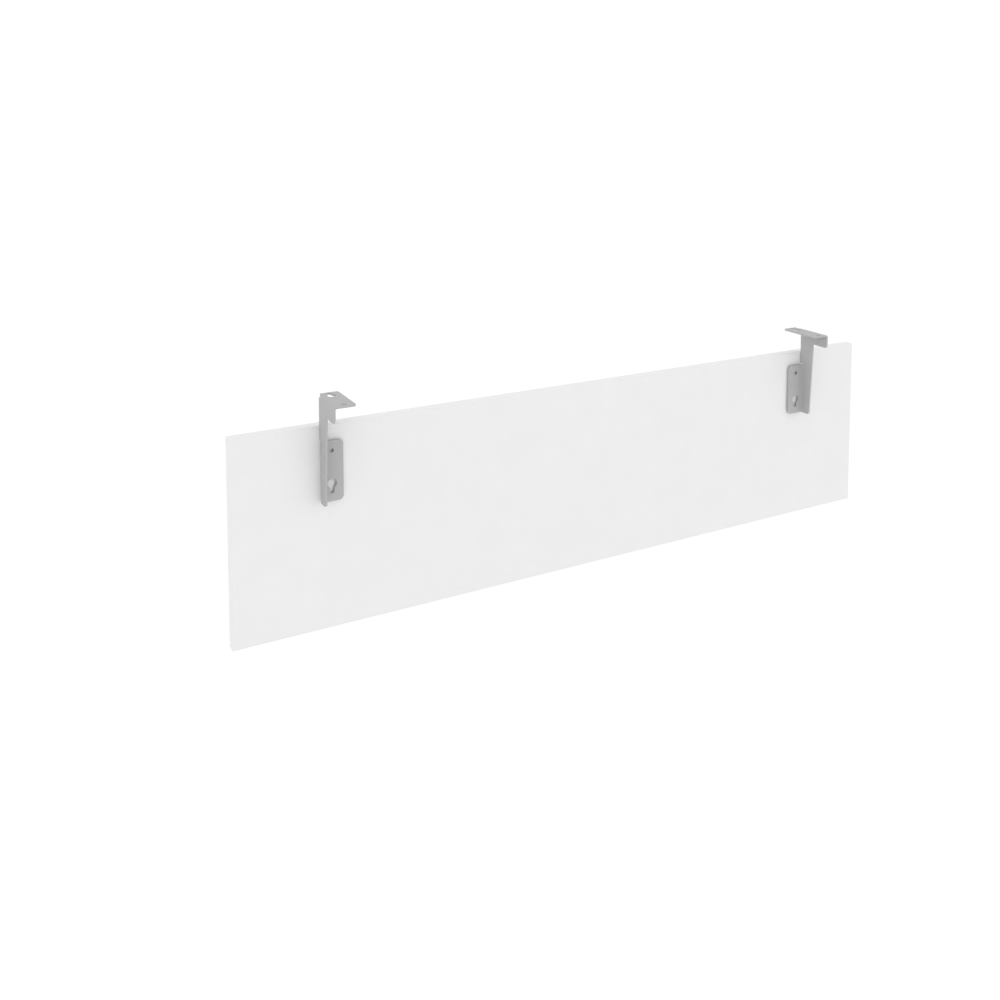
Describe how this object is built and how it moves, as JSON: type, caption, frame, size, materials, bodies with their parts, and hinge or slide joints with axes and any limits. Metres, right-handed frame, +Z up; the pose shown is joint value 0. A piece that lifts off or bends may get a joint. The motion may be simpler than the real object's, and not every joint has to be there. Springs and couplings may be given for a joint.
{
  "type": "desk modesty panel",
  "caption": "Long faced-board modesty panel that hangs below a desk top on a mirrored pair of bent sheet-steel brackets with keyholes and screw holes.",
  "frame": {"origin": "midway between the two desk screw holes, in the plane of the top flanges that meets the desk's underside", "axes": "+X along the panel to the right as seen by the person at the desk, +Y away from that person towards the panel's outer face, +Z up"},
  "size_m": [1.37, 0.0922, 0.3995],
  "materials": {
    "chipboard": "raw chipboard, hidden inside the board",
    "panel_laminate": "fine matt laminate in light grey-white",
    "edge_band": "matt edge band in the colour of the laminate",
    "powder_coated_steel": "fine satin powder coat in mid grey",
    "foam_tape": "mid grey adhesive foam tape, almost hidden behind the brackets"
  },
  "bodies": {
    "root": {"panel_core": "chipboard", "front_laminate": "panel_laminate", "rear_laminate": "panel_laminate", "top_edge_band": "edge_band", "bottom_edge_band": "edge_band", "left_edge_band": "edge_band", "right_edge_band": "edge_band", "left_bracket": "powder_coated_steel", "right_bracket": "powder_coated_steel", "left_flange_pad": "foam_tape", "right_flange_pad": "foam_tape"}
  },
  "joints": []
}
